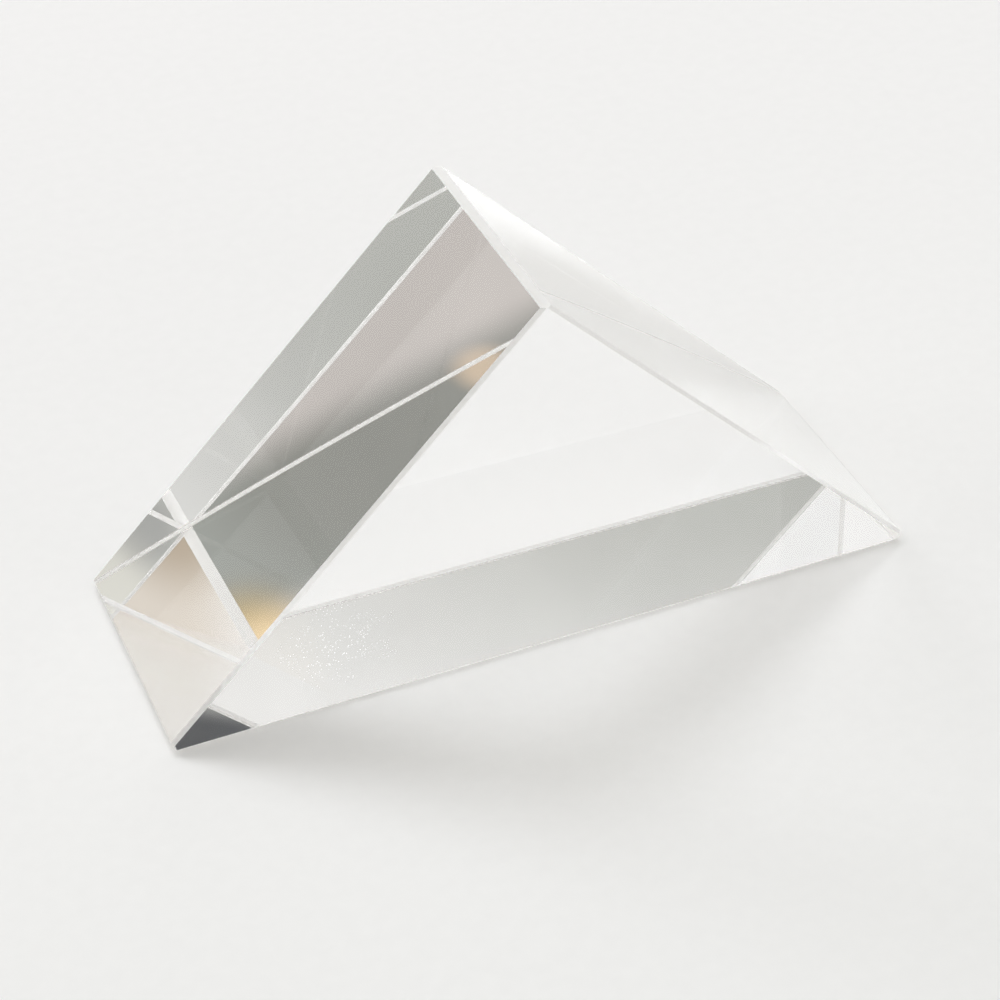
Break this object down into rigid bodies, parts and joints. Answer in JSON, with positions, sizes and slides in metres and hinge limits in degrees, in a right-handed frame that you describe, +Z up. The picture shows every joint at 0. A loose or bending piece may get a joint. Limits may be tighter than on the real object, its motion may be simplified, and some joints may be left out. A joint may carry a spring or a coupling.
{
  "type": "right angle prism",
  "caption": "Clear glass right angle prism, polished on all five faces, with ground flats along its edges, resting on its long face.",
  "frame": {"origin": "centre of the long face, which the prism rests on", "axes": "+X along the long side of the triangle, +Y from one triangular end to the other, +Z up, through the right angle edge"},
  "size_m": [0.0686, 0.0238, 0.0349],
  "materials": {
    "optical_glass": "polished"
  },
  "bodies": {
    "root": {"prism": "optical_glass"}
  },
  "joints": []
}
